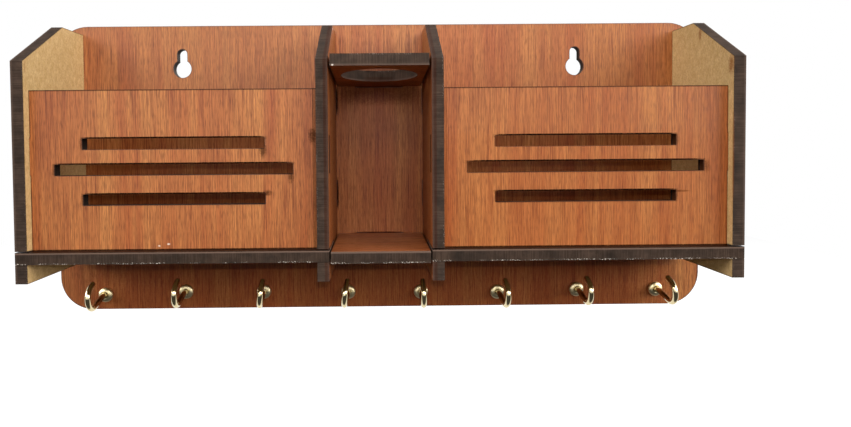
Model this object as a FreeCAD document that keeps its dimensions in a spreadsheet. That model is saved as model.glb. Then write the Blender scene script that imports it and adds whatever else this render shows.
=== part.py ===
import FreeCAD, Part
import math
import os
import Sketcher

# Wall key holder, millimetres. X runs to the right, -Y comes out of the wall, +Z is up. The origin
# is the centre of the back panel's rear face, which lies on the wall.

doc = FreeCAD.newDocument("wall_key_holder")
sheet = doc.addObject("Spreadsheet::Sheet", "Sizes")

SIZES = {
    "board": 4.7,             # thickness of every board
    "panel_width": 300.0,     # back panel
    "panel_height": 132.0,
    "panel_corner": 15.0,
    "inner_half": 137.2,      # centre line to the end panels' inner faces
    "middle_half": 20.1,      # centre line to the dividers' inner faces
    "depth": 54.6,            # back panel's front face to the uprights' front edges
    "lap_depth": 27.3,        # back panel's front face to the end of an upright's slot
    "upright_top": 62.2,
    "upright_foot": 42.8,     # below the centre
    "flat_depth": 20.7,       # level part of an upright's top edge
    "chamfer_low": 43.6,      # where the sloping edge meets the front edge
    "shelf_level": 30.6,      # top of the shelves, below the centre
    "slot_play": 0.45,        # air above a shelf in an upright's slot
    "fit": 0.1,               # play on each side of a tenon
    "tenon_upper": 30.2,      # centres and length of the uprights' tenons
    "tenon_lower": 12.4,      # below the centre
    "tenon_length": 12.0,
    "pocket_top": 32.6,
    "pocket_recess": 4.1,
    "pocket_tenon": 6.6,      # centre height and length of the pocket fronts' tenons
    "pocket_tenon_length": 14.8,
    "slot_height": 4.3,       # long slots of the pocket fronts
    "long_slot": 93.4,
    "short_slot": 71.4,
    "slot_upper": 11.4,
    "slot_middle": 1.2,
    "slot_lower": 10.6,       # below the centre
    "shelf_tenon": 22.0,
    "shelf_tenon_spread": 56.0,
    "floor_half": 19.5,
    "floor_level": 31.2,      # below the centre
    "floor_tenon": 21.5,
    "ring_half": 19.3,
    "ring_level": 37.4,       # underside at the back panel
    "ring_radius": 16.0,
    "ring_setback": 23.8,     # front edge to the centre of the round hole
    "ring_mortise": 5.2,
    "keyhole_spread": 182.8,
    "keyhole_level": 46.2,
    "keyhole_radius": 4.15,
    "keyway_radius": 2.3,
    "keyway_rise": 6.8,
    "wire_radius": 1.25,
    "screw_length": 4.2,
    "pilot_radius": 1.5,
    "lead_corner": 4.75,      # panel face to the wire's first corner
    "hook_reach": 14.9,       # panel face to the centre of the hook's bend
    "hook_radius": 5.1,
    "hook_tip": 3.7,
    "collar_radius": 3.4,
    "collar_bore": 1.3,
    "collar_rim": 1.35,
    "collar_height": 1.7,
    "collar_crown": 3.05,
}
for row, (alias, number) in enumerate(SIZES.items(), start=1):
    sheet.set("A%d" % row, alias)
    sheet.set("B%d" % row, str(number))
    sheet.setAlias("B%d" % row, alias)
doc.recompute()

RING_TILT = 3.67     # degrees, the upper plate's front edge sits higher than its back
DROOP = -17.0        # degrees, the wire's slope before the hook's bend
TIP_TURN = 155.0     # degrees, the direction in which the tip points
BEND_CORNERS = 7     # mitres around the hook's bend

# Screw-in hooks as they sit: place along X, height, swing to the side and turn on the screw.
HOOKS = [
    (-129.1, -59.2, 0.0, 0.0),
    (-91.3, -58.0, 0.0, 1.5),
    (-54.9, -58.3, 3.8, 7.0),
    (-15.2, -58.7, -3.0, 7.0),
    (18.9, -59.0, 0.5, -1.5),
    (54.8, -59.3, 4.5, 0.0),
    (92.2, -58.5, 2.4, -1.0),
    (129.5, -58.7, 3.2, -7.0),
]


class Size:
    """A length and the spreadsheet text that gives it."""

    def __init__(self, value, text):
        self.value = value
        self.text = text

    def __add__(self, other):
        other = as_size(other)
        return Size(self.value + other.value, "(%s + %s)" % (self.text, other.text))

    def __sub__(self, other):
        other = as_size(other)
        return Size(self.value - other.value, "(%s - %s)" % (self.text, other.text))

    def __mul__(self, factor):
        return Size(self.value * factor, "(%s * %s)" % (self.text, factor))

    def __neg__(self):
        return Size(-self.value, "(-1 * %s)" % self.text)


def as_size(value):
    return value if isinstance(value, Size) else Size(value, "%s" % value)


def size(alias):
    return Size(SIZES[alias], "Sizes.%s" % alias)


def bind(obj, prop, length):
    setattr(obj, prop, length.value)
    obj.setExpression(prop, length.text)


def new_body(label, x=None, y=None, z=None):
    """A body whose own Placement carries it to its place."""
    body = doc.addObject("PartDesign::Body", label)
    for axis, length in (("x", x), ("y", y), ("z", z)):
        if length is not None:
            body.setExpression("Placement.Base.%s" % axis, length.text)
    return body


def new_sketch(body, role, label, offset=None):
    sketch = body.newObject("Sketcher::SketchObject", "%s_%s" % (body.Label, label))
    plane = [item for item in body.Origin.OriginFeatures if item.Role == role][0]
    sketch.AttachmentSupport = [(plane, "")]
    sketch.MapMode = "FlatFace"
    if offset:
        sketch.AttachmentOffset = offset
    return sketch


def pin(sketch, geo, pos, x, y):
    """Hold one sketch point at a distance from the sketch's origin."""
    for kind, length in (("DistanceX", as_size(x)), ("DistanceY", as_size(y))):
        if length.value < 0:
            length = -length
            ends = (geo, pos, -1, 1)
        else:
            ends = (-1, 1, geo, pos)
        n = sketch.addConstraint(Sketcher.Constraint(kind, *ends, length.value))
        if "Sizes" in length.text:
            sketch.setExpression("Constraints[%d]" % n, length.text)


def radius(sketch, geo, length):
    n = sketch.addConstraint(Sketcher.Constraint("Radius", geo, length.value))
    sketch.setExpression("Constraints[%d]" % n, length.text)


def join(sketch, kind, first, first_pos, second, second_pos):
    sketch.addConstraint(Sketcher.Constraint(kind, first, first_pos, second, second_pos))


def outline(sketch, points):
    """A closed outline of straight lines with every corner pinned."""
    points = [(as_size(x), as_size(y)) for x, y in points]
    spots = [FreeCAD.Vector(x.value, y.value, 0) for x, y in points]
    first = sketch.GeometryCount
    for here, there in zip(spots, spots[1:] + spots[:1]):
        sketch.addGeometry(Part.LineSegment(here, there))
    last = len(points) - 1
    for i, (x, y) in enumerate(points):
        join(sketch, "Coincident", first + (i - 1 if i else last), 2, first + i, 1)
        pin(sketch, first + i, 1, x, y)


def box_outline(sketch, centre_x, centre_y, half_x, half_y):
    left, right = centre_x - half_x, centre_x + half_x
    low, high = centre_y - half_y, centre_y + half_y
    outline(sketch, [(left, low), (right, low), (right, high), (left, high)])


def circle(sketch, x, y, length):
    x, y = as_size(x), as_size(y)
    spot = FreeCAD.Vector(x.value, y.value, 0)
    geo = sketch.addGeometry(Part.Circle(spot, FreeCAD.Vector(0, 0, 1), length.value))
    pin(sketch, geo, 3, x, y)
    radius(sketch, geo, length)


def pad(body, sketch, length, back=False):
    feature = body.newObject("PartDesign::Pad", "%s_pad" % sketch.Label)
    feature.Profile = sketch
    bind(feature, "Length", length)
    feature.Reversed = back
    sketch.Visibility = False
    return feature


def pocket(body, sketch, length, back=False):
    """Cut a sketch through its board, and make sure that it took material away."""
    doc.recompute()
    before = body.Shape.Volume
    feature = body.newObject("PartDesign::Pocket", "%s_cut" % sketch.Label)
    feature.Profile = sketch
    bind(feature, "Length", length)
    feature.Reversed = back
    doc.recompute()
    if body.Shape.Volume > before - 1.0:
        raise ValueError("%s took nothing away" % feature.Label)
    return feature


def dress(body, kind, label, edges, prop, length):
    """A fillet or chamfer on edges of the shape so far."""
    base = body.Tip
    feature = body.newObject("PartDesign::%s" % kind, "%s_%s" % (body.Label, label))
    feature.Base = (base, edges)
    bind(feature, prop, length)
    doc.recompute()


board = size("board")
fit = size("fit")
depth = size("depth")
front = -(board + depth)
shelf_top = -size("shelf_level")
shelf_under = shelf_top - board
inner = size("inner_half")
middle = size("middle_half")
pocket_mid = (inner + middle + board) * 0.5
parts = []


# Back panel: rounded board, with mortises for all the tenons, pilot holes and two keyholes.

def mortise(sketch, x, z, half_x, half_z):
    box_outline(sketch, as_size(x), as_size(z), half_x + fit, half_z + fit)


panel = new_body("back_panel")
face = new_sketch(panel, "XZ_Plane", "outline")
half_w, half_h = size("panel_width") * 0.5, size("panel_height") * 0.5
outline(face, [(-half_w, -half_h), (half_w, -half_h), (half_w, half_h), (-half_w, half_h)])
pad(panel, face, board)
doc.recompute()
corners = ["Edge%d" % (i + 1) for i, e in enumerate(panel.Shape.Edges)
           if abs(e.tangentAt(e.FirstParameter).y) > 0.99]
dress(panel, "Fillet", "corners", corners, "Radius", size("panel_corner"))

slots = new_sketch(panel, "XZ_Plane", "mortises")
tenon_half = size("tenon_length") * 0.5
for side in (-1, 1):
    for place in (inner + board * 0.5, middle + board * 0.5):
        x = place if side > 0 else -place
        mortise(slots, x, size("tenon_upper"), board * 0.5, tenon_half)
        mortise(slots, x, -size("tenon_lower"), board * 0.5, tenon_half)
    for spread in (size("shelf_tenon_spread") * 0.5, -(size("shelf_tenon_spread") * 0.5)):
        x = (pocket_mid if side > 0 else -pocket_mid) + spread
        mortise(slots, x, shelf_top - board * 0.5, size("shelf_tenon") * 0.5, board * 0.5)
floor_half_z = board * 0.5
mortise(slots, 0, -size("floor_level") - floor_half_z, size("floor_tenon") * 0.5, floor_half_z)
mortise(slots, 0, size("ring_level") + board * 0.5, size("floor_tenon") * 0.5,
        size("ring_mortise") * 0.5)
pocket(panel, slots, board, back=True)

pilots = new_sketch(panel, "XZ_Plane", "pilot_holes")
for x, z, swing, turn in HOOKS:
    aim = math.tan(math.radians(swing)) * SIZES["board"] / 2
    circle(pilots, x - aim, z, size("pilot_radius"))
pocket(panel, pilots, board, back=True)

keyholes = new_sketch(panel, "XZ_Plane", "keyholes")
big, small = size("keyhole_radius"), size("keyway_radius")
for side in (-1, 1):
    x = size("keyhole_spread") * (0.5 * side)
    z = size("keyhole_level")
    top = z + size("keyway_rise")
    meet = math.sqrt(big.value ** 2 - small.value ** 2)
    bend = math.atan2(meet, small.value)
    up = FreeCAD.Vector(0, 0, 1)
    low_c = FreeCAD.Vector(x.value, z.value, 0)
    top_c = FreeCAD.Vector(x.value, top.value, 0)
    n = keyholes.GeometryCount
    keyholes.addGeometry(Part.ArcOfCircle(Part.Circle(low_c, up, big.value),
                                          math.pi - bend, 2 * math.pi + bend))
    across = FreeCAD.Vector(small.value, 0, 0)
    rise = FreeCAD.Vector(0, meet, 0)
    keyholes.addGeometry(Part.LineSegment(low_c + across + rise, top_c + across))
    keyholes.addGeometry(Part.ArcOfCircle(Part.Circle(top_c, up, small.value), 0, math.pi))
    keyholes.addGeometry(Part.LineSegment(top_c - across, low_c - across + rise))
    pin(keyholes, n, 3, x, z)
    radius(keyholes, n, big)
    pin(keyholes, n + 2, 3, x, top)
    radius(keyholes, n + 2, small)
    join(keyholes, "Coincident", n, 2, n + 1, 1)
    join(keyholes, "Tangent", n + 1, 2, n + 2, 1)
    join(keyholes, "Tangent", n + 2, 2, n + 3, 1)
    join(keyholes, "Coincident", n + 3, 2, n, 1)
    keyholes.addConstraint(Sketcher.Constraint("Vertical", n + 1))
    keyholes.addConstraint(Sketcher.Constraint("Vertical", n + 3))
pocket(panel, keyholes, board, back=True)
parts.append(panel)


# Uprights: one profile for the two end panels and the two dividers.

def tenon(centre):
    """Corners of a tenon that points into the back panel, upwards along an upright's rear edge."""
    low, high = centre - tenon_half, centre + tenon_half
    return [(-board, low), (0, low), (0, high), (-board, high)]


def upright(label, left_face):
    body = new_body(label, x=left_face)
    profile = new_sketch(body, "YZ_Plane", "profile")
    foot = -size("upright_foot")
    slot_end = fit - (board + size("lap_depth"))
    slot_low = shelf_under - fit
    slot_high = shelf_top + size("slot_play")
    points = [(front, foot), (-board, foot)]
    points += tenon(-size("tenon_lower"))
    points += tenon(size("tenon_upper"))
    points += [(-board, size("upright_top")), (-(board + size("flat_depth")), size("upright_top"))]
    points += [(front, size("chamfer_low")), (front, slot_high), (slot_end, slot_high)]
    points += [(slot_end, slot_low), (front, slot_low)]
    outline(profile, points)
    recess = front + size("pocket_recess") + board * 0.5
    box_outline(profile, recess, size("pocket_tenon"), board * 0.5 + fit,
                size("pocket_tenon_length") * 0.5 + fit)
    pad(body, profile, board)
    parts.append(body)


upright("left_end_panel", -(inner + board))
upright("right_end_panel", inner)
upright("left_divider", -(middle + board))
upright("right_divider", middle)


# Pocket fronts: recessed boards with three long slots and a tenon at each end.

def pocket_front(label, side):
    body = new_body(label, x=pocket_mid * side, y=front + size("pocket_recess") + board)
    sketch = new_sketch(body, "XZ_Plane", "front")
    half = (inner - middle - board) * 0.5 - fit
    out = (inner - middle - board) * 0.5 + board
    low = size("pocket_tenon") - size("pocket_tenon_length") * 0.5
    high = size("pocket_tenon") + size("pocket_tenon_length") * 0.5
    top = size("pocket_top")
    right = [(half, shelf_top), (half, low), (out, low), (out, high), (half, high), (half, top)]
    left = [(-x, z) for x, z in reversed(right)]
    outline(sketch, right + left)
    slot_half = size("slot_height") * 0.5
    for level, length in ((size("slot_upper"), "short_slot"), (size("slot_middle"), "long_slot"),
                          (-size("slot_lower"), "short_slot")):
        box_outline(sketch, as_size(0), level, size(length) * 0.5, slot_half)
    pad(body, sketch, board)
    parts.append(body)


pocket_front("left_pocket_front", -1)
pocket_front("right_pocket_front", 1)


# Shelves: full width in front, where they pass through the uprights, narrower behind.

def shelf(label, side):
    body = new_body(label, x=pocket_mid * side, z=shelf_under)
    sketch = new_sketch(body, "XY_Plane", "plan")
    wide = (inner - middle - board) * 0.5 + board
    narrow = (inner - middle - board) * 0.5 - fit
    lap = -(board + size("lap_depth"))
    half = size("shelf_tenon") * 0.5
    spread = size("shelf_tenon_spread") * 0.5
    right = [(wide, front), (wide, lap), (narrow, lap), (narrow, -board), (spread + half, -board),
             (spread + half, 0), (spread - half, 0), (spread - half, -board)]
    left = [(-x, y) for x, y in reversed(right)]
    outline(sketch, right + left)
    pad(body, sketch, board)
    parts.append(body)


shelf("left_shelf", -1)
shelf("right_shelf", 1)


# Middle compartment: a small floor and, tilted a little, the plate with the round hole.

def tongue(half, tenon_end, back):
    """Plan of a plate with one tenon in the middle of its rear edge."""
    tenon_side = size("floor_tenon") * 0.5
    right = [(half, -depth), (half, back), (tenon_side, back), (tenon_side, tenon_end)]
    return right + [(-x, y) for x, y in reversed(right)]


floor = new_body("middle_floor", y=-board, z=-(size("floor_level") + board))
plan = new_sketch(floor, "XY_Plane", "plan")
outline(plan, tongue(size("floor_half"), board, Size(0, "0")))
pad(floor, plan, board)
parts.append(floor)

ring = new_body("pen_ring_plate", y=-board, z=size("ring_level"))
plan = new_sketch(ring, "XY_Plane", "plan")
outline(plan, tongue(size("ring_half"), board - 0.3, -(board * 0.08)))
circle(plan, 0, -depth + size("ring_setback"), size("ring_radius"))
pad(ring, plan, board)
ring.Placement.Rotation = FreeCAD.Rotation(FreeCAD.Vector(1, 0, 0), -RING_TILT)
parts.append(ring)


# Hooks: round wire with a plain shank in the panel, bent down, forward, up and back in short
# mitred runs, and a bevelled collar around it. Some are screwed in a little askew.

def hook_path(sketch):
    """The wire's centre line, with every run around the bend tangent to one circle."""
    droop, tip = math.radians(DROOP), math.radians(TIP_TURN)
    step = (tip - droop) / BEND_CORNERS
    big, corner = SIZES["hook_radius"], SIZES["lead_corner"]
    slope = math.tan(droop)
    touch = SIZES["hook_reach"] + big * math.sin(droop)
    centre = FreeCAD.Vector(SIZES["hook_reach"], (touch - corner) * slope + big * math.cos(droop), 0)
    spots = [FreeCAD.Vector(-SIZES["screw_length"], 0, 0), FreeCAD.Vector(corner, 0, 0)]
    for i in range(BEND_CORNERS):
        turn = droop + step * (i + 0.5)
        out = FreeCAD.Vector(math.sin(turn), -math.cos(turn), 0)
        spots.append(centre + out * (big / math.cos(step / 2)))
    last = SIZES["hook_tip"] + big * math.tan(step / 2)
    spots.append(spots[-1] + FreeCAD.Vector(math.cos(tip), math.sin(tip), 0) * last)
    for here, there in zip(spots, spots[1:]):
        sketch.addGeometry(Part.LineSegment(here, there))
    runs = len(spots) - 1
    up = FreeCAD.Vector(0, 0, 1)
    guide = sketch.addGeometry(Part.Circle(centre, up, big), True)
    for geo in range(runs - 1):
        join(sketch, "Coincident", geo, 2, geo + 1, 1)
    pin(sketch, 0, 1, -size("screw_length"), 0)
    pin(sketch, 0, 2, size("lead_corner"), 0)
    radius(sketch, guide, size("hook_radius"))
    n = sketch.addConstraint(Sketcher.Constraint("DistanceX", -1, 1, guide, 3, centre.x))
    sketch.setExpression("Constraints[%d]" % n, "Sizes.hook_reach")
    for geo in range(1, runs):
        sketch.addConstraint(Sketcher.Constraint("Tangent", geo, guide))
        sketch.addConstraint(Sketcher.Constraint("Angle", geo, droop + step * (geo - 1)))
    n = sketch.addConstraint(Sketcher.Constraint("Distance", runs - 1, last))
    more = "Sizes.hook_tip + Sizes.hook_radius * %.6f" % math.tan(step / 2)
    sketch.setExpression("Constraints[%d]" % n, more)


def askew(swing):
    """How far a hook swung to the side stands off the panel, so that its collar just rests on it."""
    return SIZES["collar_radius"] * math.sin(math.radians(abs(swing))) + 0.01


def place_hook(body, x, z, swing, turn):
    """Stand a body drawn along +X on the back panel's face, pointing out of the wall."""
    out = FreeCAD.Rotation(FreeCAD.Vector(0, 0, 1), swing - 90)
    roll = FreeCAD.Rotation(FreeCAD.Vector(0, 1, 0), turn)
    stand = -(board + askew(swing))
    body.Placement = FreeCAD.Placement(FreeCAD.Vector(x, stand.value, z), roll * out)
    body.setExpression("Placement.Base.y", stand.text)


def hook_wire(label):
    body = new_body(label)
    path = new_sketch(body, "XZ_Plane", "path")
    hook_path(path)
    tail = FreeCAD.Placement(FreeCAD.Vector(0, 0, -SIZES["screw_length"]), FreeCAD.Rotation())
    section = new_sketch(body, "YZ_Plane", "section", tail)
    section.setExpression("AttachmentOffset.Base.z", "-Sizes.screw_length")
    circle(section, 0, 0, size("wire_radius"))
    wire = body.newObject("PartDesign::AdditivePipe", "%s_wire" % label)
    wire.Profile = section
    wire.Spine = path
    wire.Transition = "Right corner"
    return body


def hook_collar(label):
    """A turned ring: flat back, straight rim, bevelled shoulder and flat crown."""
    body = new_body(label)
    half = new_sketch(body, "XZ_Plane", "section")
    bore, rim, tall = size("collar_bore"), size("collar_radius"), size("collar_height")
    outline(half, [(0, bore), (tall, bore), (tall, size("collar_crown")),
                   (size("collar_rim"), rim), (0, rim)])
    turned = body.newObject("PartDesign::Revolution", "%s_turned" % label)
    turned.Profile = half
    turned.ReferenceAxis = (half, ["H_Axis"])
    turned.Angle = 360
    return body


for number, (x, z, swing, turn) in enumerate(HOOKS, start=1):
    for body in (hook_wire("key_hook_%d" % number), hook_collar("hook_collar_%d" % number)):
        place_hook(body, x, z, swing, turn)
        parts.append(body)


# Check every object and write one file for each piece.

doc.recompute()
for item in doc.Objects:
    if "Invalid" in item.State or "Error" in item.State:
        raise ValueError("%s: %s" % (item.Name, item.State))
os.makedirs("parts", exist_ok=True)
volume = 0.0
for body in parts:
    shape = body.Shape
    if shape.isNull() or not shape.isValid() or len(shape.Solids) != 1:
        raise ValueError("%s is not one sound solid" % body.Label)
    volume += shape.Volume
    shape.exportStep("parts/%s.step" % body.Label)
print("%d pieces, %.1f cm3 of material" % (len(parts), volume / 1000))
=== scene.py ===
# %% [markdown]
# # A wall key holder of laser-cut board
#
# The real thing is flat-packed: boards of about 4.7 mm medium density fibreboard (MDF), with a
# wood-grain laminate pressed on one side, are cut out with a laser and pushed together with
# tenons and mortises. Eight brass cup hooks are screwed into the lower strip of the back panel.
#
# The CAD frame already has every board at its true size, so this script keeps those nodes and
# gives them their finish. Only the hooks and their collars are drawn again, because the frame has
# them in few faces, and polished wire shows every one of them.

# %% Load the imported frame
import math

import bmesh
import bpy
from mathutils import Matrix, Vector


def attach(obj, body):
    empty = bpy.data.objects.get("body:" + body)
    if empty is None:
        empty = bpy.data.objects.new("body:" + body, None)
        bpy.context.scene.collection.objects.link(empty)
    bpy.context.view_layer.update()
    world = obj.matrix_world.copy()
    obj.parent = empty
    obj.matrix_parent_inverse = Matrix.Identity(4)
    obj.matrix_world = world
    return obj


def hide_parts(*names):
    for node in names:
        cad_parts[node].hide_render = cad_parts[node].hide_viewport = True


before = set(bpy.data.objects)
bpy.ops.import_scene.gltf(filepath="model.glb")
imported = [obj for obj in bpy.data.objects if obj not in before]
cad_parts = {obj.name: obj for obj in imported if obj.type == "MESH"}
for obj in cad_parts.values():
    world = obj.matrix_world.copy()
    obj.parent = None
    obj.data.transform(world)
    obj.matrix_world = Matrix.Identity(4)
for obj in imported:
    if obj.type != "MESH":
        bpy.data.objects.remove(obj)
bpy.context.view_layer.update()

MM = 0.001
print("nodes:", len(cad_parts))

# %% [markdown]
# ## A few helpers for every material
#
# Colours are easiest to pick as sRGB hex values, but shaders work in linear light, so one
# function turns them. Node trees are easiest to read when a node is added in one line together
# with its settings and with what is plugged into it, so one function does that too: a socket is
# given by its name or its place among the sockets in use, and its value is a number, a hex colour
# or the node that feeds it.

# %% Colour and node helpers
def linear(code):
    """An sRGB hex value as the linear colour that shaders work in."""
    parts = [int(code[i:i + 2], 16) / 255 for i in (1, 3, 5)]
    light = [p / 12.92 if p <= 0.04045 else ((p + 0.055) / 1.055) ** 2.4 for p in parts]
    return (*light, 1.0)


def add(tree, kind, sockets=None, **settings):
    """Add a node, set its properties, then fill or link its sockets."""
    node = tree.nodes.new("ShaderNode" + kind)
    for name, value in settings.items():
        setattr(node, name, value)
    usable = [s for s in node.inputs if s.enabled]
    for key, value in (sockets or {}).items():
        socket = usable[key] if isinstance(key, int) else next(s for s in usable if s.name == key)
        if isinstance(value, bpy.types.Node):
            value = next(s for s in value.outputs if s.enabled)
        if isinstance(value, bpy.types.NodeSocket):
            tree.links.new(value, socket)
        else:
            socket.default_value = linear(value) if isinstance(value, str) else value
    return node


def new_material(name):
    """An empty material with its tree and its output node."""
    material = bpy.data.materials.new(name)
    material.use_nodes = True
    tree = material.node_tree
    tree.nodes.clear()
    return material, tree, tree.nodes.new("ShaderNodeOutputMaterial")


print("mid grey #808080 is", round(linear("#808080")[0], 3), "in linear light")

# %% [markdown]
# ## Layers of colour
#
# A real surface is a stack: ground, grain, smoke, soot. Each layer covers the one below in part.
# How much it covers is a product, for instance of a streak, of its strength, and of how near the
# point is to an edge. The two functions below are that idea: one multiplies what a cover is made
# of, the other lays the colours on in turn.

# %% Covers and layers
def cover(tree, *factors):
    """The product of factors: numbers, nodes, or (value, low, high), a soft rise from 0 to 1."""
    product = None
    for factor in factors:
        if isinstance(factor, tuple):
            value, low, high = factor
            factor = add(tree, "MapRange", {"Value": value, "From Min": low, "From Max": high},
                         interpolation_type="SMOOTHSTEP")
        if product is not None:
            factor = add(tree, "Math", {0: product, 1: factor}, operation="MULTIPLY")
        product = factor
    return product


def layered(tree, ground, *layers):
    """Lay colours over a ground in turn, each given as (colour, what its cover is made of ...)."""
    for tint, *factors in layers:
        ground = add(tree, "Mix", {"Factor": cover(tree, *factors), "A": ground, "B": tint},
                     data_type="RGBA")
    return ground


def in_millimetres(tree):
    """Position in the holder's own frame, in millimetres."""
    where = add(tree, "TexCoord").outputs["Object"]
    return add(tree, "Mapping", {"Vector": where, "Scale": [1 / MM] * 3})


print("a cover of 0.6 and 0.5 hides", 0.6 * 0.5, "of the ground")

# %% [markdown]
# ## Board space
#
# Every board has three kinds of surface: the laminated face, the bare fibreboard on the other
# face, and the charred edge that the laser leaves all round, in slots and holes too. Which one a
# point belongs to follows from its normal, so one material can dress a whole board. The material
# first turns the object's coordinates into the board's own: X across the grain, Y the depth in
# millimetres below the laminated face, Z along the grain. That way grain, charring and chips are
# written once and fit every board, whichever way it stands.

# %% Which way each board faces, and which way its grain runs
UP, RIGHT, FRONT = Vector((0, 0, 1)), Vector((1, 0, 0)), Vector((0, -1, 0))
TILT = math.radians(3.67)
TILTED_DOWN = Vector((0, -math.sin(TILT), -math.cos(TILT)))

# Laminated face's direction, grain's direction, soot over the char, wear of the film's edge, and
# gloss, the specular level of the film.
BOARDS = {
    "back_panel": (FRONT, UP, 0.75, 0.1, 0.45),
    "left_pocket_front": (FRONT, UP, 0.75, 0.1, 0.5),
    "right_pocket_front": (FRONT, UP, 0.75, 0.1, 0.5),
    "left_end_panel": (-RIGHT, UP, 0.1, 0.1, 0.25),
    "right_end_panel": (RIGHT, UP, 0.0, 0.1, 0.25),
    "left_divider": (RIGHT, UP, 0.0, 0.1, 0.25),
    "right_divider": (-RIGHT, UP, 0.0, 0.2, 0.25),
    "left_shelf": (UP, RIGHT, 0.1, 1.0, 0.1),
    "right_shelf": (UP, RIGHT, 0.1, 0.9, 0.1),
    "middle_floor": (UP, RIGHT, 0.15, 1.0, 0.25),
    "pen_ring_plate": (TILTED_DOWN, RIGHT, 0.0, 0.2, 0.45),
}


def board_axes(facing, grain):
    """Across the grain, depth below the face, along the grain."""
    depth = -facing
    return depth.cross(grain), depth, grain


def depths(node, depth):
    """Depth in millimetres of each of a board's vertices, measured from the world's origin."""
    return [v.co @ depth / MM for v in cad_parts[node].data.vertices]


def board_space(tree, node, shift):
    """Position in millimetres and normal, both turned into the board's own axes."""
    axes = board_axes(*BOARDS[node][:2])
    turn = Matrix(axes).to_euler()
    offset = Vector((shift[0], -min(depths(node, axes[1])), shift[1]))
    where = add(tree, "TexCoord")
    place = add(tree, "Mapping", {"Vector": where.outputs["Object"], "Rotation": turn,
                                  "Scale": [1 / MM] * 3, "Location": offset})
    normal = add(tree, "Mapping", {"Vector": where.outputs["Normal"], "Rotation": turn},
                 vector_type="VECTOR")
    return place, normal


for node, (facing, *_) in BOARDS.items():
    span = depths(node, -facing)
    print("%-20s %.2f mm thick" % (node, max(span) - min(span)))

# %% [markdown]
# ## Laminate: a printed walnut-and-teak grain under a satin film
#
# The laminate is a printed paper under a thin clear film. It is orange-brown, with fine dark
# streaks a third of a millimetre wide and about two centimetres long, short dark pores, and soft
# bands several millimetres wide. Each is a noise texture stretched along the grain. A photograph
# could be used instead, but noise has no seams and gives every board a grain of its own.

# %% Stretched noise, the base of all wood grain
NOISE_LOW, NOISE_HIGH = 0.3, 0.7      # nearly all of the noise's values lie between these


def stretched(tree, place, across, along, detail=2.0, warp=0.0):
    """Noise whose features are so many millimetres wide and long, as a value from 0 to 1."""
    fit = add(tree, "Mapping", {"Vector": place, "Scale": (1 / across, 1 / across, 1 / along)})
    noise = add(tree, "TexNoise", {"Vector": fit, "Scale": 1.0, "Detail": detail,
                                   "Roughness": 0.6, "Distortion": warp})
    return add(tree, "MapRange", {"Value": noise.outputs[0], "From Min": NOISE_LOW,
                                  "From Max": NOISE_HIGH})


print("noise from %.1f to %.1f is spread over 0 to 1" % (NOISE_LOW, NOISE_HIGH))

# %% The laminate's colour and relief
BAND_WIDTH, BAND_LENGTH = 9.0, 160.0      # all in millimetres
FIGURE_WIDTH, FIGURE_LENGTH = 2.2, 70.0
STREAK_WIDTH, STREAK_LENGTH = 0.35, 21.0
PORE_WIDTH, PORE_LENGTH = 0.3, 4.0


def laminate(tree, place):
    """Satin wood-grain laminate: returns its colour and its pores, which are pressed in."""
    bands = stretched(tree, place, BAND_WIDTH, BAND_LENGTH, detail=2.0, warp=0.6)
    figure = stretched(tree, place, FIGURE_WIDTH, FIGURE_LENGTH, detail=3.0, warp=0.5)
    streaks = stretched(tree, place, STREAK_WIDTH, STREAK_LENGTH, detail=3.0, warp=0.3)
    pores = stretched(tree, place, PORE_WIDTH, PORE_LENGTH, detail=1.0)
    pores = cover(tree, (pores, 0.4, 1.0))
    streaks_here = add(tree, "MapRange", {"Value": figure, "To Min": 0.5, "To Max": 0.9})
    colour = layered(tree, "#ba6635",
                     ("#d68d4e", bands),
                     ("#9e5230", figure, 0.25),
                     ("#712e0d", (streaks, 0.25, 0.9), streaks_here),
                     ("#56260c", pores, 0.5))
    return colour, pores


for name, width, length in (("bands", BAND_WIDTH, BAND_LENGTH),
                            ("figure", FIGURE_WIDTH, FIGURE_LENGTH),
                            ("streaks", STREAK_WIDTH, STREAK_LENGTH),
                            ("pores", PORE_WIDTH, PORE_LENGTH)):
    print("%-8s %.2f mm by %.0f mm" % (name, width, length))

# %% [markdown]
# ## Bare medium density fibreboard
#
# The unlaminated side is pressed wood fibre: tan, matt, with a speckle of lighter and darker
# fibres a few tenths of a millimetre long. Noise at two sizes is enough, one for the fibres and
# one for the cloudy tone that pressing leaves.

# %% Bare board
FIBRE_WIDTH, FIBRE_LENGTH = 0.45, 0.72      # millimetres
CLUMP_WIDTH, CLUMP_LENGTH = 2.2, 3.0


def bare_board(tree, place):
    """Raw fibreboard: returns its colour and its speckle."""
    speckle = stretched(tree, place, FIBRE_WIDTH, FIBRE_LENGTH, detail=3.0)
    clumps = stretched(tree, place, CLUMP_WIDTH, CLUMP_LENGTH, detail=2.0)
    colour = layered(tree, "#c4a26b",
                     ("#d8b682", clumps),
                     ("#97754a", speckle, 0.6))
    return colour, speckle


print("fibres %.2f mm, clumps %.1f mm" % (FIBRE_LENGTH, CLUMP_LENGTH))

# %% [markdown]
# ## The charred edge
#
# A laser burns its way through and leaves a dark brown-grey edge with fine striations that run
# straight through the thickness, two or three to the millimetre. The laminate shows as a paler
# line along its side of the edge, and at the far side small chips break away and show white. Here
# the depth coordinate does the work: the striations hardly follow it, and the line and the chips
# live at its two ends.

# %% Charred edge
THICK = 4.7               # millimetres, as are the others
STRIATION = 0.4           # from one striation to the next
CLOUD, NICK, RUN = 6.0, 0.45, 8.0      # tone of the char, a chip, the stretches that chips keep to
FILM = 1.0                # the pale line, drawn wider than the real film so that it shows
CHIPPED = (THICK - 0.7, THICK - 0.3)


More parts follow.
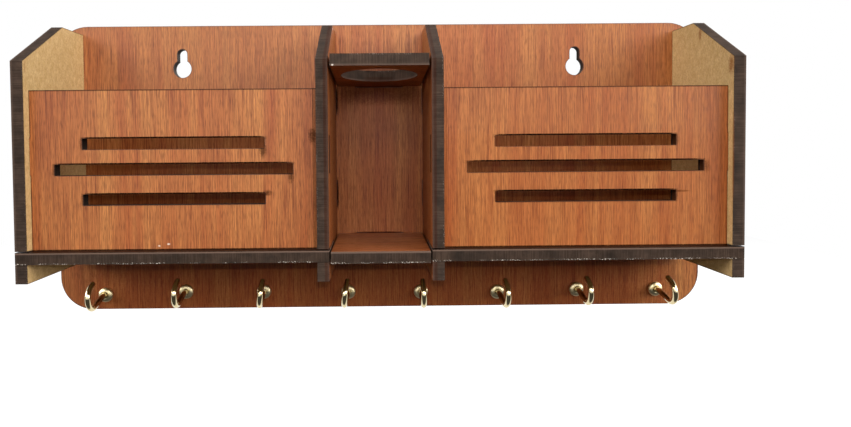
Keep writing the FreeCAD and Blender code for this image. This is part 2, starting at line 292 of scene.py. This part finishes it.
def charred_edge(tree, place, soot, wear):
    """Laser-cut edge: returns its colour and its striations."""
    fit = add(tree, "Mapping", {"Vector": place, "Scale": (1 / STRIATION, 0.08, 1 / STRIATION)})
    lines = add(tree, "TexNoise", {"Vector": fit, "Scale": 1.0, "Detail": 2.0})
    lines = cover(tree, (lines.outputs[0], 0.35, 0.65))
    clouds = stretched(tree, place, CLOUD, CLOUD, detail=5.0)
    nicks = stretched(tree, place, NICK, NICK, detail=2.0)
    runs = stretched(tree, place, RUN, RUN, detail=2.0)
    depth = add(tree, "SeparateXYZ", {0: place}).outputs["Y"]
    colour = layered(tree, "#39302a",
                     ("#5a483d", clouds),
                     ("#271d16", lines, 0.42),
                     ("#94796a", (depth, FILM, FILM * 0.4), 0.15 + 0.5 * wear),
                     ("#0d0705", soot),
                     ("#f0e2d2", (nicks, 0.62, 0.85), (runs, 0.3, 0.7), wear, (depth, *CHIPPED)))
    return colour, lines


print("striations every %.1f mm" % STRIATION)

# %% [markdown]
# ## Marks that the cutting and handling left, and painted shade
#
# Real laser-cut boards carry small accidents: soot that the air jet blew out of a slot's end,
# scorched corners, a joint cut a little too wide that shows as a dark slit, and white nicks where
# the film has chipped. Along each slot's upper rim runs a dark line, part soot and part painted
# shade of the slot's top wall. The deep places carry painted shade, browner and redder than the
# fronts: the middle compartment, the pockets' backs, the dividers' inner faces, the plate's
# underside by the back panel, the strip under the shelves, and the ledges and the fronts' lower
# edges where they meet. The back panel's upper left corner carries a greyish painted sheen, and
# single boards differ in tone, one more amber.
#
# Each mark is a patch at its place in millimetres with an edge torn by noise: round when it is
# small, and the longer it is, the squarer. Soot and painted shade dull the shine as well as the
# colour. The ledge of each shelf in front of a pocket is darkened with painted shade along its
# whole length, so it reads as a dark line under the pocket.

# %% The marks, board by board
SOOT_AND_PAINTED_SHADE, PAINTED_SHADE, PAINTED_RED_SHADE, SCORCH, CHIP = "#0f0603", "#3f1808", "#6a1800", "#7c431c", "#f3e4d6"
AMBER, PAINTED_SHEEN = "#a85400", "#8a7a70"
MARKS = {      # colour, centre in x y z, half sizes, strength
    "left_pocket_front": [
        (SOOT_AND_PAINTED_SHADE, (-46.0, -55, 8.6), (1.5, 3, 3.2), 0.7),      # smudges at the slots' ends
        (SOOT_AND_PAINTED_SHADE, (-35.1, -55, -1.6), (1.3, 3, 3.0), 0.7),
        (SOOT_AND_PAINTED_SHADE, (-44.3, -55, -8.3), (2.0, 3, 1.2), 0.65),
        (SOOT_AND_PAINTED_SHADE, (-26.5, -55, 14.0), (1.7, 3, 3.2), 0.7),     # joint with the divider
        (SOOT_AND_PAINTED_SHADE, (-25.4, -55, 0.0), (1.2, 3, 40.0), 0.5),
        (CHIP, (-87.3, -55, -28.9), (0.55, 3, 0.35), 1.0),
        (CHIP, (-83.6, -55, -28.2), (0.6, 3, 0.4), 1.0)],
    "right_pocket_front": [
        (SOOT_AND_PAINTED_SHADE, (119.0, -55, -8.9), (3.4, 3, 0.45), 0.6),    # smudges at the slots' ends
        (SOOT_AND_PAINTED_SHADE, (129.2, -55, 0.9), (0.9, 3, 2.8), 0.5),
        (SOOT_AND_PAINTED_SHADE, (25.6, -55, 0.0), (0.9, 3, 40.0), 0.3),      # joint with the divider
        (AMBER, (81, -55, 0), (80, 3, 50), 0.1),            # tone of the whole board
        (AMBER, (81, -55, -25), (80, 3, 40), 0.08)],
    "back_panel": [
        (SOOT_AND_PAINTED_SHADE, (-19.7, -5, 31.0), (0.45, 3, 6.5), 0.9),     # joints of the middle compartment
        (SOOT_AND_PAINTED_SHADE, (-19.7, -5, -12.5), (0.45, 3, 7.5), 0.9),
        (SOOT_AND_PAINTED_SHADE, (-0.9, -5, -31.1), (11.5, 3, 0.55), 0.9),
        # Painted sheen, pale and greyish, on the upper left corner; the upper right one is amber
        # in tone.
        (PAINTED_SHEEN, (-84, -5, 52), (60, 3, 30), 0.09),           # tone of its two upper corners
        (AMBER, (84, -5, 52), (60, 3, 30), 0.08),
        # Painted shade deep in the middle compartment, darkest under the pen ring plate.
        (PAINTED_SHADE, (0, -5, 38), (19, 3, 9), 0.6),              # deep in the compartment
        # Reddened painted shade over the compartment's back.
        (PAINTED_RED_SHADE, (0, -5, 0), (19.5, 3, 38), 0.2),
        # Painted shade deep in the pockets.
        (PAINTED_SHADE, (-81, -5, -8), (58, 3, 24), 0.25),          # deep in the pockets
        (PAINTED_SHADE, (81, -5, -8), (58, 3, 24), 0.25),
        (PAINTED_SHADE, (-81, -5, -22), (58, 3, 13), 0.25),
        (PAINTED_SHADE, (81, -5, -22), (58, 3, 13), 0.25),
        # Reddened painted shade on the strip under the shelves that carries the hooks.
        (PAINTED_RED_SHADE, (0, -5, -56), (138, 3, 13), 0.45)],         # the strip that carries the hooks
    "right_end_panel": [
        (SCORCH, (136.8, -31.6, 56.5), (0.8, 1.6, 3.4), 0.85),
        (SCORCH, (136.8, -57.3, 40.5), (0.8, 2.6, 4.2), 0.85),
        (SCORCH, (136.8, -59.0, 5.0), (0.8, 0.8, 18), 0.5)],
    "left_end_panel": [
        (SCORCH, (-136.8, -57.6, 41.5), (0.8, 1.0, 2.5), 0.5)],
    # Painted shade over the dividers' inner faces.
    "left_divider": [(PAINTED_SHADE, (-20, -30, 10), (2, 90, 90), 0.45)],
    "right_divider": [(PAINTED_SHADE, (20, -30, 10), (2, 90, 90), 0.45)],
    "pen_ring_plate": [
        # Painted shade on the plate's underside next to the back panel.
        (PAINTED_SHADE, (0, -5, 37.4), (21, 16, 3), 0.4),
        (CHIP, (-18.2, -59, 41.2), (0.5, 2, 0.4), 1.0)],
    # Painted shade on each shelf's ledge in front of its pocket.
    "left_shelf": [(SOOT_AND_PAINTED_SHADE, (-81, -57.0, -30.6), (900, 2.6, 0.2), 1.0)],      # the ledge
    "right_shelf": [(SOOT_AND_PAINTED_SHADE, (81, -57.0, -30.6), (900, 2.6, 0.2), 1.0)],
}
SLOTS = [(11.4, 35.5), (1.2, 46.5), (-10.6, 35.5)]      # height, half length
POCKET = 81.0                                           # middle of a pocket, to either side
for side, node in ((-1, "left_pocket_front"), (1, "right_pocket_front")):
    # Along each slot's upper rim, a dark line that is part soot and part painted shade of the
    # slot's top wall.
    MARKS[node] += [(SOOT_AND_PAINTED_SHADE, (side * POCKET, -55, level + 2.0), (half + 0.5, 3, 0.75), 1.0)
                    for level, half in SLOTS]           # the slots' upper rims
    MARKS[node] += [(SOOT_AND_PAINTED_SHADE, (side * (POCKET + 0.4 + half), -55, level), (0.9, 3, 2.6), 0.5)
                    for level, half in SLOTS]           # their outer ends
    # Painted shade along each front's lower edge, where it meets its shelf.
    MARKS[node] += [(SOOT_AND_PAINTED_SHADE, (side * POCKET, -55, -30.6), (62, 3, 0.6), 0.9),      # lower edge
                    (SOOT_AND_PAINTED_SHADE, (side * POCKET, -55, 32.6), (62, 3, 0.5), 0.6),       # upper edge
                    (SOOT_AND_PAINTED_SHADE, (side * 141.9, -55, 0), (0.5, 3, 40), 0.6)]           # outer joint
print("marks:", sum(len(m) for m in MARKS.values()))

# %% Lay the marks on
TEAR = 0.625             # millimetres, the size of the tears in a mark's edge
TORN = 1.6               # how far they reach into it
FADE = (2.3, 0.6)        # from where a mark begins to where it covers fully
LONG, VERY_LONG = 5, 20  # millimetres


def marked(tree, node, colour, shine):
    """Lay a board's marks over its colour and over its shine."""
    place = in_millimetres(tree)
    tear = add(tree, "TexNoise", {"Vector": place, "Scale": 1 / TEAR, "Detail": 3.0}).outputs[0]
    for tint, centre, half, strength in MARKS.get(node, []):
        fit = add(tree, "Mapping", {"Vector": place, "Scale": [1 / h for h in half],
                                    "Location": [-c / h for c, h in zip(centre, half)]})
        for _ in range((max(half) > LONG) + 2 * (max(half) > VERY_LONG)):
            fit = add(tree, "VectorMath", {0: fit, 1: fit}, operation="MULTIPLY")
        reach = add(tree, "VectorMath", {0: fit, 1: fit}, operation="DOT_PRODUCT")
        edge = add(tree, "Math", {0: tear, 1: TORN, 2: reach.outputs["Value"]},
                   operation="MULTIPLY_ADD")
        patch = cover(tree, (edge, *FADE), strength)
        colour = layered(tree, colour, (tint, patch))
        shine = layered(tree, shine, (tint, patch))
    return colour, shine


print("most marks on one board:", max(len(m) for m in MARKS.values()))

# %% [markdown]
# ## One finish for every board
#
# The three surfaces are mixed by the normal's depth part: -1 on the laminated face, +1 on the
# bare face, near 0 on every edge. Smoke from the cut browns a narrow rim of both faces. A Bevel
# node finds that rim, because near an edge the rounded normal it returns leans away from the true
# one.
#
# To the eye, the laminate is a satin print that lifts to a pale sheen, and the bare board and the
# char are matt: they have no film, so their reflections are tinted down. The relief, pores in the
# film, fibres and striations, is a few hundredths of a millimetre.

# %% Build and assign the board finishes
SMOKE_RIM = 1.1                 # millimetres, as is the relief
RELIEF = 0.04
FLAT = 0.75                     # a face's normal points at least so much along the depth
SATIN, MATT = 0.35, 0.85        # roughness of the film, of fibre and char
GRAIN_STEP = (37.0, 211.0)      # millimetres from one board's piece of the grain to the next's


def board_finish(node, shift):
    """Laser-cut laminated fibreboard for one board, with a grain and marks of its own."""
    soot, wear, gloss = BOARDS[node][2:]
    material, tree, output = new_material("laminated_fibreboard_" + node)
    place, normal = board_space(tree, node, shift)
    side = add(tree, "SeparateXYZ", {0: normal}).outputs["Y"]
    is_laminate = add(tree, "Math", {0: side, 1: -FLAT}, operation="LESS_THAN")
    is_bare = add(tree, "Math", {0: side, 1: FLAT}, operation="GREATER_THAN")
    veneer, pores = laminate(tree, place)
    raw, speckle = bare_board(tree, place)
    char, lines = charred_edge(tree, place, soot, wear)

    round_normal = add(tree, "Bevel", {"Radius": SMOKE_RIM * MM}, samples=8)
    true_normal = add(tree, "NewGeometry").outputs["Normal"]
    lean = add(tree, "VectorMath", {0: round_normal, 1: true_normal}, operation="DOT_PRODUCT")
    rim = cover(tree, (lean.outputs["Value"], 1.0, 0.8))
    burnt = cover(tree, (lean.outputs["Value"], 0.94, 0.84))
    veneer = layered(tree, veneer, ("#5b3018", rim, 0.35), ("#24140d", burnt, 0.85))
    raw = layered(tree, raw, ("#6b4a2c", rim, 0.5), ("#2c2018", burnt, 0.8))
    colour = layered(tree, char, (raw, is_bare), (veneer, is_laminate))
    shine = layered(tree, "#808080", ("#ffffff", is_laminate))
    colour, shine = marked(tree, node, colour, shine)

    rough = add(tree, "Mix", {"Factor": is_laminate, "A": MATT, "B": SATIN})
    rough = add(tree, "Math", {0: pores, 1: 0.12, 2: rough}, operation="MULTIPLY_ADD")
    pits = add(tree, "Math", {0: pores, 1: -0.6}, operation="MULTIPLY")
    height = add(tree, "Mix", {"Factor": is_bare, "A": lines, "B": speckle})
    height = add(tree, "Mix", {"Factor": is_laminate, "A": height, "B": pits})
    relief = add(tree, "Bump", {"Height": height, "Distance": RELIEF * MM, "Strength": 0.6})
    shader = add(tree, "BsdfPrincipled", {"Base Color": colour, "Roughness": rough,
                                          "Normal": relief, "Specular IOR Level": gloss,
                                          "Specular Tint": shine})
    tree.links.new(shader.outputs[0], output.inputs["Surface"])
    return material


for number, node in enumerate(BOARDS):
    finish = board_finish(node, (GRAIN_STEP[0] * number + 5.0, GRAIN_STEP[1] * number))
    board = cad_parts[node]
    board.data.materials.clear()
    board.data.materials.append(finish)
print("board finishes:", len(BOARDS))

# %% [markdown]
# ## Brass
#
# The hooks are steel wire and the collars pressed steel, both plated with brass. What the eye
# gets is almost all reflection: cream where a lamp or the pale room is mirrored, near black where
# a dark board is. The wire is polished and mirrors crisply. The collars came out of the tumbling
# drum satin, so their reflections are soft. Where a shank comes out of its collar, its underside
# is painted a darker brown: painted shade for the dark wood that it mirrors there. Both are the
# same plain yellow metal, at two roughnesses, each with a faint wipe of wear to break the mirror.

# %% Brass plate
WIPE = 0.8                                # millimetres
# Painted shade on the shanks' undersides, from the collar to the bend.
SHANK_SHADE_START, SHANK_SHADE_END = (-7.0, -8.5), (-18.5, -13.0)      # along Y, from the collar to the bend
SHANK_SHADE_TOP = (-57.5, -59.5)                 # along Z, the film keeps to the underside


def brass_plate(name, smoothest, roughest):
    """Brass plate with painted shade under the hooks' shanks, from smoothest to roughest."""
    material, tree, output = new_material(name)
    place = in_millimetres(tree)
    wipe = stretched(tree, place, WIPE, WIPE, detail=3.0)
    spot = add(tree, "SeparateXYZ", {0: place}).outputs
    colour = layered(tree, "#efe1ba",
                     ("#dac593", wipe),
                     # painted shade: a darker brown under the shanks
                     ("#57432f", (spot["Y"], *SHANK_SHADE_START), (spot["Y"], *SHANK_SHADE_END),
                      (spot["Z"], *SHANK_SHADE_TOP), 0.75))
    rough = add(tree, "MapRange", {"Value": wipe, "To Min": smoothest, "To Max": roughest})
    shader = add(tree, "BsdfPrincipled", {"Base Color": colour, "Metallic": 1.0,
                                          "Roughness": rough})
    tree.links.new(shader.outputs[0], output.inputs["Surface"])
    return material


polished = brass_plate("polished_brass_plate", 0.07, 0.15)
tumbled = brass_plate("tumbled_brass_plate", 0.28, 0.4)
print("brass:", polished.name, "for the wires,", tumbled.name, "for the collars")

# %% [markdown]
# ## The hooks
#
# A cup hook starts as straight wire. It is screwed into the board, leaves it through a collar,
# droops a little, turns up in a round bend and ends in a short tip that leans back. A curve
# object with a round bevel could draw it, but its end would be flat. Here rings of points are
# swept along straight stretches and arcs, and the last rings shrink like a dome, because the
# real tip is tumbled round.

# %% The wire's path, in millimetres, pointing out of the wall along X
WIRE = 1.25                     # radius of the wire
SHANK = 4.2                     # depth in the panel
CORNER, LEAD_BEND = 4.75, 10.0  # where the droop starts, and the radius that leads into it
REACH, BEND = 14.9, 5.1         # middle of the round bend, and its radius
TIP = 3.7                       # straight end, with its dome
DROOP, TIP_TURN = math.radians(-17.0), math.radians(155.0)
LEAD_STEPS, BEND_STEPS, TIP_STEPS = 6, 40, 6


def hook_path():
    """Points along the wire's centre line with the direction at each, (point, angle)."""
    half = LEAD_BEND * math.tan(-DROOP / 2)
    touch = REACH + BEND * math.sin(DROOP)
    centre = Vector((REACH, (touch - CORNER) * math.tan(DROOP) + BEND * math.cos(DROOP)))
    path = [(Vector((-SHANK, 0)), 0.0)]
    for i in range(LEAD_STEPS + 1):
        turn = DROOP * i / LEAD_STEPS
        path.append((Vector((CORNER - half - LEAD_BEND * math.sin(turn),
                             LEAD_BEND * (math.cos(turn) - 1))), turn))
    for i in range(BEND_STEPS + 1):
        turn = DROOP + (TIP_TURN - DROOP) * i / BEND_STEPS
        path.append((centre + BEND * Vector((math.sin(turn), -math.cos(turn))), turn))
    end = path[-1][0] + Vector((math.cos(TIP_TURN), math.sin(TIP_TURN))) * (TIP - WIRE)
    path.append((end, TIP_TURN))
    return path


line = [point for point, angle in hook_path()]
print("points on the wire's line: %d, length with its dome %.1f mm" % (
    len(line), WIRE + sum((b - a).length for a, b in zip(line, line[1:]))))

# %% Sweep the wire
SIDES = 32
DOME = 81      # degrees of the tip's dome, short of its pole, which one small face closes


def ring(mesh, centre, angle, radius, forward=0.0):
    """A ring of vertices square to the wire."""
    ahead = Vector((math.cos(angle), 0, math.sin(angle)))
    above = Vector((-math.sin(angle), 0, math.cos(angle)))
    side = Vector((0, 1, 0))
    middle = Vector((centre.x, 0, centre.y)) + ahead * forward
    return [mesh.verts.new((middle + radius * (above * math.cos(a) + side * math.sin(a))) * MM)
            for a in (2 * math.pi * i / SIDES for i in range(SIDES))]


def bridge(mesh, first, second):
    """Faces between two closed rows of vertices."""
    for i in range(len(first)):
        j = (i + 1) % len(first)
        mesh.faces.new((first[i], second[i], second[j], first[j]))


def hook_mesh():
    """The whole wire, from its end in the panel to its domed tip."""
    mesh = bmesh.new()
    path = hook_path()
    rings = [ring(mesh, point, angle, WIRE) for point, angle in path]
    end, angle = path[-1]
    for step in range(1, TIP_STEPS + 1):
        bow = math.radians(DOME * step / TIP_STEPS)
        rings.append(ring(mesh, end, angle, WIRE * math.cos(bow), WIRE * math.sin(bow)))
    for first, second in zip(rings, rings[1:]):
        bridge(mesh, first, second)
    mesh.faces.new(rings[0])
    mesh.faces.new(list(reversed(rings[-1])))
    return mesh


print("vertices round the wire:", SIDES)

# %% [markdown]
# ## The collars
#
# The collar is a small domed cup pressed out of sheet. It is round, so its half section is drawn
# and turned: a flat back, a thin rim with its edge broken, a shoulder that rises in a quarter of
# an oval, and a crown that dips a little where it closes on the wire.

# %% Turn the collar
RIM, RIM_EDGE, CROWN, HEIGHT, BORE = 3.4, 0.45, 1.5, 1.7, 1.3      # millimetres
BREAK_IN, BREAK_UP, DIP = 0.15, 0.12, 0.08
DOME_STEPS, AROUND = 8, 64


def collar_mesh():
    """The collar about the X axis, its flat back at zero."""
    profile = [(0.0, BORE), (0.0, RIM - BREAK_IN), (BREAK_UP, RIM), (RIM_EDGE, RIM)]
    for step in range(1, DOME_STEPS + 1):
        a = math.radians(90 * step / DOME_STEPS)
        profile.append((RIM_EDGE + (HEIGHT - RIM_EDGE) * math.sin(a),
                        CROWN + (RIM - CROWN) * math.cos(a)))
    profile.append((HEIGHT - DIP, BORE))
    mesh = bmesh.new()
    rings = []
    for i in range(AROUND):
        a = 2 * math.pi * i / AROUND
        rings.append([mesh.verts.new((x * MM, r * math.cos(a) * MM, r * math.sin(a) * MM))
                      for x, r in profile])
    for i in range(AROUND):
        bridge(mesh, rings[i], rings[(i + 1) % AROUND])
    return mesh


print("collar %.1f mm across and %.1f mm high" % (2 * RIM, HEIGHT))

# %% [markdown]
# ## Put the hooks in place
#
# They were screwed in by hand: each has its own turn and leans a little to the side. These are
# the same places as in the frame, so each new hook lies over the node that it stands for.

# %% Place hooks and collars
HOOKS = [      # place along X and height in millimetres, swing to the side and turn in degrees
    (-129.1, -59.2, 0.0, 0.0),
    (-91.3, -58.0, 0.0, 1.5),
    (-54.9, -58.3, 3.8, 7.0),
    (-15.2, -58.7, -3.0, 7.0),
    (18.9, -59.0, 0.5, -1.5),
    (54.8, -59.3, 4.5, 0.0),
    (92.2, -58.5, 2.4, -1.0),
    (129.5, -58.7, 3.2, -7.0),
]
PLAY = 0.01      # millimetres between the panel and the nearest point of a collar


def finished(mesh, name, stands_for, spot, brass):
    """Turn a bmesh into an object of the frame at its place."""
    x, z, swing, turn = spot
    bmesh.ops.recalc_face_normals(mesh, faces=mesh.faces)
    data = bpy.data.meshes.new(name)
    mesh.to_mesh(data)
    mesh.free()
    off = RIM * math.sin(math.radians(abs(swing))) + PLAY
    out = Matrix.Rotation(math.radians(swing - 90), 4, "Z")
    roll = Matrix.Rotation(math.radians(turn), 4, "Y")
    move = Matrix.Translation(Vector((x, -(THICK + off), z)) * MM)
    data.transform(move @ roll @ out)
    data.shade_smooth()
    piece = bpy.data.objects.new(name, data)
    bpy.context.scene.collection.objects.link(piece)
    data.materials.append(brass)
    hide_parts(stands_for)
    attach(piece, "root")
    return piece


for number, spot in enumerate(HOOKS, start=1):
    wire = finished(hook_mesh(), "hook_wire_%d" % number, "key_hook_%d" % number, spot,
                    polished)
    cup = finished(collar_mesh(), "hook_cup_%d" % number, "hook_collar_%d" % number, spot,
                   tumbled)
print("hooks: %d, with %d vertices in a wire and %d in a collar" % (
    len(HOOKS), len(wire.data.vertices), len(cup.data.vertices)))

# %% [markdown]
# ## Camera
#
# The photograph was taken from close up, a little above the middle, looking down by about two
# degrees, and then cropped off-centre. The focal length in pixels, the crop and the camera's
# place were worked out from the corners of the boards. A camera's shift moves the picture
# without moving the eye, which is just what a crop does.

# %% Camera
PHOTO_WIDTH, PHOTO_HEIGHT = 851, 427
FOCAL_PIXELS = 670.14
AXIS_PIXEL = (381.49, 166.27)
EYE = Vector((-1.30, -318.64, 10.43)) * MM
YAW, PITCH, ROLL = (math.radians(a) for a in (0.390, -1.882, -0.464))

ahead = Vector((math.sin(YAW) * math.cos(PITCH), math.cos(YAW) * math.cos(PITCH),
                math.sin(PITCH)))
right = Vector((math.cos(YAW), -math.sin(YAW), 0))
above = right.cross(ahead)
right, above = (right * math.cos(ROLL) + above * math.sin(ROLL),
                above * math.cos(ROLL) - right * math.sin(ROLL))
camera_data = bpy.data.cameras.new("camera")
camera_data.sensor_fit = "HORIZONTAL"
camera_data.lens = camera_data.sensor_width * FOCAL_PIXELS / PHOTO_WIDTH
camera_data.shift_x = (PHOTO_WIDTH / 2 - AXIS_PIXEL[0]) / PHOTO_WIDTH
camera_data.shift_y = (AXIS_PIXEL[1] - PHOTO_HEIGHT / 2) / PHOTO_WIDTH
camera_data.clip_start = 0.01
camera = bpy.data.objects.new("camera", camera_data)
turned = Matrix((right, above, -ahead)).transposed().to_4x4()
camera.matrix_world = Matrix.Translation(EYE) @ turned
bpy.context.scene.collection.objects.link(camera)
bpy.context.scene.camera = camera
print("lens %.1f mm, shift %.3f, %.3f" % (
    camera_data.lens, camera_data.shift_x, camera_data.shift_y))

# %% [markdown]
# ## Light
#
# The photograph shows where its light came from. The compartments are dark, so little of it came
# straight from the front. The left end panel is brighter inside than the right one, so more of it
# came from the right. The strip under the shelves is darkest at its top and has one thin sharp
# shadow, which only a small lamp beside the lens can throw. So there are two broad soft lamps low
# on each side, one a little higher in front, and a weak small one at the camera, which polished
# parts don't mirror, as it would be a dot on them. A soft one behind lights the rear for other
# views. Each lamp's power is worked out from the share of light that it gives to a surface that
# faces it.

# %% Lamps
def lamp(name, share, azimuth, elevation, distance=3.0, size=1.2):
    """A square lamp aimed at the object; azimuth 0 is straight in front, positive to the right."""
    data = bpy.data.lights.new(name, "AREA")
    data.shape, data.size = "SQUARE", size
    data.energy = share * (math.pi * distance) ** 2
    light = bpy.data.objects.new(name, data)
    a, e = math.radians(azimuth), math.radians(elevation)
    back = Vector((math.sin(a) * math.cos(e), -math.cos(a) * math.cos(e), math.sin(e)))
    light.location = back * distance
    light.rotation_mode = "QUATERNION"
    light.rotation_quaternion = back.to_track_quat("Z", "Y")
    bpy.context.scene.collection.objects.link(light)
    print("%-18s share %.2f, %.1f W" % (name, share, data.energy))
    return light


lamp("soft_right", 0.80, 55.0, 21.0, size=2.0)
lamp("far_right", 0.42, 80.0, 14.0)
lamp("soft_left", 0.25, -50.0, 24.0)
lamp("far_left", 0.52, -78.0, 18.0)
lamp("soft_front", 0.28, 5.0, 24.0)
lamp("soft_rear", 0.60, 165.0, 25.0)
lens_light = lamp("lens_light", 0.115, 0.2, 4.3, distance=0.319, size=0.003)
lens_light.visible_glossy = False

# %% [markdown]
# ## The room
#
# The camera sees white all round. What polished and satin surfaces mirror is another matter: a
# room that is all white would lay a haze over the dark boards. So their rays find a white room
# behind the object, and in front a dark floor, a dim wall and one bright window, high on the
# left, where the photograph's pockets have their paler sheen.

# %% The room
ROOM_LIGHT = 0.006                           # what soft light the room adds
DARK_FLOOR, DIM_WALL, BRIGHT = 0.06, 0.37, 1.9      # in front: darkest, wall's share, window
WALL_FOOT = (-0.16, -0.02)                   # height of view at which the wall begins
WINDOW = Vector((-0.26, -0.88, 0.40)).normalized()
WINDOW_EDGE = [math.cos(math.radians(a)) for a in (32, 18)]
BEHIND = (-0.1, 0.3)                         # from the room in front to the white one behind
world = bpy.data.worlds.new("pale_room")
bpy.context.scene.world = world
world.use_nodes = True
room = world.node_tree
room.nodes.clear()
path = add(room, "LightPath").outputs
view = add(room, "TexCoord").outputs["Generated"]
toward = add(room, "SeparateXYZ", {0: view}).outputs
window = add(room, "VectorMath", {0: view, 1: WINDOW}, operation="DOT_PRODUCT").outputs["Value"]
pale = add(room, "Math", {0: cover(room, (window, *WINDOW_EDGE)),
                          1: cover(room, (toward["Z"], *WALL_FOOT), DIM_WALL)},
           operation="MAXIMUM")
in_front = add(room, "MapRange", {"Value": pale, "To Min": DARK_FLOOR, "To Max": BRIGHT})
mirrored = add(room, "Mix", {"Factor": cover(room, (toward["Y"], *BEHIND)),
                             "A": in_front, "B": 1.0})
seen = add(room, "Math", {0: path["Is Camera Ray"], 1: path["Is Transmission Ray"]},
           operation="MAXIMUM")
shine = add(room, "Mix", {"Factor": path["Is Glossy Ray"], "A": ROOM_LIGHT, "B": mirrored})
shine = add(room, "Mix", {"Factor": seen, "A": shine, "B": 1.0})
sky = add(room, "Background", {"Color": "#ffffff", "Strength": shine})
room.links.new(sky.outputs[0], add(room, "OutputWorld").inputs["Surface"])
print("room light", ROOM_LIGHT)

# %% [markdown]
# ## Floor
#
# The object hangs, so the floor lies well below it. It is pale and matt, and for the camera alone
# it glows a little, so that it meets the white room and still keeps the object's soft shadow. The
# metal doesn't mirror it: the undersides of the hooks' bends are near black in the photograph,
# where a pale floor would turn them grey.

# %% Floor
FLOOR_LEVEL = -0.5                      # metres, as are its sides
FLOOR_X, FLOOR_Y = (-2, 2), (-0.15, 4)
GLOW = 0.95
floor_data = bpy.data.meshes.new("floor")
floor_data.from_pydata([(FLOOR_X[i], FLOOR_Y[j], FLOOR_LEVEL)
                        for i, j in ((0, 0), (1, 0), (1, 1), (0, 1))], [], [(0, 1, 2, 3)])
floor = bpy.data.objects.new("floor", floor_data)
bpy.context.scene.collection.objects.link(floor)
floor.visible_glossy = False
paint, tree, output = new_material("matt_pale_floor")      # matt paint: no shine, only a shadow
path = add(tree, "LightPath").outputs
matt = add(tree, "BsdfDiffuse", {"Color": "#808080"})
glow = add(tree, "Emission", {"Color": "#ffffff",
                              "Strength": cover(tree, path["Is Camera Ray"], GLOW)})
both = add(tree, "AddShader", {0: matt, 1: glow})
tree.links.new(both.outputs[0], output.inputs["Surface"])
floor_data.materials.append(paint)
print("floor %.0f mm below the origin" % (-FLOOR_LEVEL / MM))

# %% [markdown]
# ## Colours as they are
#
# Colours are shown as they are, so that the white room stays white and the boards keep the tones
# that were matched. Nothing drawn here may reach past the real object.

# %% Show colours as they are
bpy.context.scene.view_settings.view_transform = "Standard"
